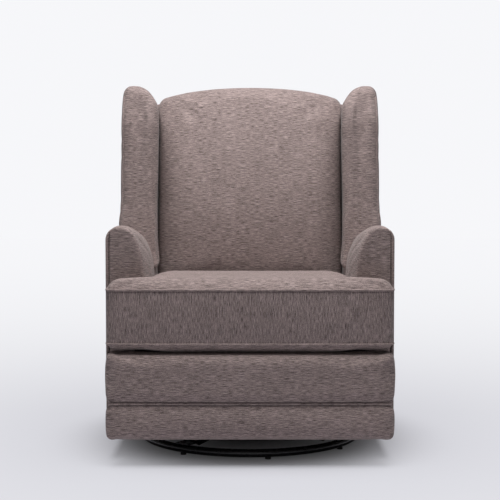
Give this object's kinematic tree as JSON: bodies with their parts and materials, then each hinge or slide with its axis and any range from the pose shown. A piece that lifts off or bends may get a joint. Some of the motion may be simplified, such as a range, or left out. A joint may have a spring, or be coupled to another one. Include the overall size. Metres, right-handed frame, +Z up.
{
  "type": "swivel glider recliner",
  "caption": "Wing-back swivel glider recliner in heathered taupe fabric with a T-shaped seat cushion, pull-out footrest and black ring base.",
  "frame": {"origin": "on the floor on the swivel axis, under the middle of the chair", "axes": "+Z up, -Y to the front where the sitter faces, +X to the right seen from the front"},
  "size_m": [0.756, 0.8293, 1.0341],
  "materials": {
    "taupe_fabric": "slub weave",
    "black_paint": "gloss",
    "mechanism_steel": "satin",
    "zinc_steel": "satin",
    "spring_steel": "satin",
    "frame_wood": "raw",
    "glide_plastic": "matte",
    "stop_rubber": "matte"
  },
  "bodies": {
    "base": {"base_ring": "black_paint", "floor_glides": "glide_plastic", "cross_arms": "black_paint", "lower_race": "mechanism_steel", "bearing_balls": "zinc_steel", "ball_cage": "glide_plastic", "king_pin": "zinc_steel", "king_pin_nut": "zinc_steel"},
    "turntable": {"upper_race": "mechanism_steel", "platform_bars": "mechanism_steel", "glider_bracket_left": "mechanism_steel", "glider_bracket_right": "mechanism_steel", "hanger_pins": "zinc_steel", "glide_stops": "stop_rubber"},
    "glide_front": {"front_glide_links": "mechanism_steel"},
    "glide_rear": {"rear_glide_links": "mechanism_steel"},
    "foot_front_link": {"front_links": "mechanism_steel", "front_link_rivets": "zinc_steel"},
    "foot_long_link": {"long_links": "mechanism_steel", "long_link_rivets": "zinc_steel"},
    "foot_rear_link": {"rear_control_links": "mechanism_steel"},
    "foot_carrier_link": {"carrier_links": "mechanism_steel"},
    "footrest": {"footrest_brackets": "mechanism_steel", "footrest_rivets": "zinc_steel", "footrest_board": "frame_wood", "footrest_pad": "taupe_fabric"},
    "back": {"back_panel": "taupe_fabric", "back_posts": "frame_wood", "back_bottom_rail": "frame_wood", "back_middle_rail": "frame_wood", "back_top_rail": "frame_wood", "wing_cleats": "frame_wood", "hinge_brackets": "mechanism_steel", "back_pad": "taupe_fabric", "wing_boards": "frame_wood", "wing_left": "taupe_fabric", "wing_right": "taupe_fabric"},
    "chassis": {"arm_frame_left": "frame_wood", "arm_frame_right": "frame_wood", "arm_pad_left": "taupe_fabric", "arm_pad_right": "taupe_fabric", "back_pivot_pins": "zinc_steel", "carriage_pins": "zinc_steel", "carriage_rail_left": "mechanism_steel", "carriage_rail_right": "mechanism_steel", "front_cross_tube": "mechanism_steel", "front_seat_rail": "frame_wood", "linkage_pivots": "zinc_steel", "rear_cross_tube": "mechanism_steel", "rear_panel": "taupe_fabric", "rear_seat_rail": "frame_wood", "seat_cushion": "taupe_fabric", "seat_springs": "spring_steel", "seat_welt_bottom": "taupe_fabric", "seat_welt_top": "taupe_fabric", "side_panel_left": "taupe_fabric", "side_panel_right": "taupe_fabric", "side_plate_left": "mechanism_steel", "side_plate_right": "mechanism_steel"}
  },
  "joints": [
    {"name": "swivel", "type": "hinge", "parent": "base", "child": "turntable", "pos_m": [0, 0, 0.07], "axis": [0, 0, 1], "continuous": true},
    {"name": "glide_front_link", "type": "hinge", "parent": "turntable", "child": "glide_front", "pos_m": [0, -0.105, 0.232], "axis": [1, 0, 0], "range_deg": [-22, 22]},
    {"name": "glide_rear_link", "type": "hinge", "parent": "turntable", "child": "glide_rear", "pos_m": [0, 0.105, 0.232], "axis": [1, 0, 0], "range_deg": [-22, 22]},
    {"name": "glide", "type": "hinge", "parent": "glide_front", "child": "chassis", "pos_m": [0, -0.105, 0.107], "axis": [1, 0, 0], "range_deg": [-22, 22]},
    {"name": "recline", "type": "hinge", "parent": "chassis", "child": "back", "pos_m": [0, 0.228, 0.33], "axis": [-1, 0, 0], "range_deg": [0, 35]},
    {"name": "footrest", "type": "hinge", "parent": "chassis", "child": "foot_front_link", "pos_m": [0, -0.266, 0.264], "axis": [-1, 0, 0], "range_deg": [0, 90]},
    {"name": "foot_long", "type": "hinge", "parent": "foot_front_link", "child": "foot_long_link", "pos_m": [0, -0.24864, 0.13214], "axis": [-1, 0, 0], "range_deg": [-120, 0]},
    {"name": "foot_carrier", "type": "hinge", "parent": "foot_front_link", "child": "foot_carrier_link", "pos_m": [0, -0.24264, 0.08653], "axis": [-1, 0, 0], "range_deg": [-120, 0]},
    {"name": "foot_panel", "type": "hinge", "parent": "foot_long_link", "child": "footrest", "pos_m": [0, -0.32595, 0.26878], "axis": [-1, 0, 0], "range_deg": [0, 120]},
    {"name": "foot_rear", "type": "hinge", "parent": "chassis", "child": "foot_rear_link", "pos_m": [0, -0.2222, 0.272], "axis": [-1, 0, 0], "range_deg": [0, 85.19]}
  ],
  "couplings": [
    {"joint": "glide_front_link", "follows": "glide", "ratio": -1},
    {"joint": "glide_rear_link", "follows": "glide", "ratio": -1},
    {"joint": "foot_long", "follows": "footrest", "ratio": -1.3333},
    {"joint": "foot_carrier", "follows": "footrest", "ratio": -1.3333},
    {"joint": "foot_panel", "follows": "footrest", "ratio": 1.3333},
    {"joint": "foot_rear", "follows": "footrest", "ratio": 0.94656}
  ]
}
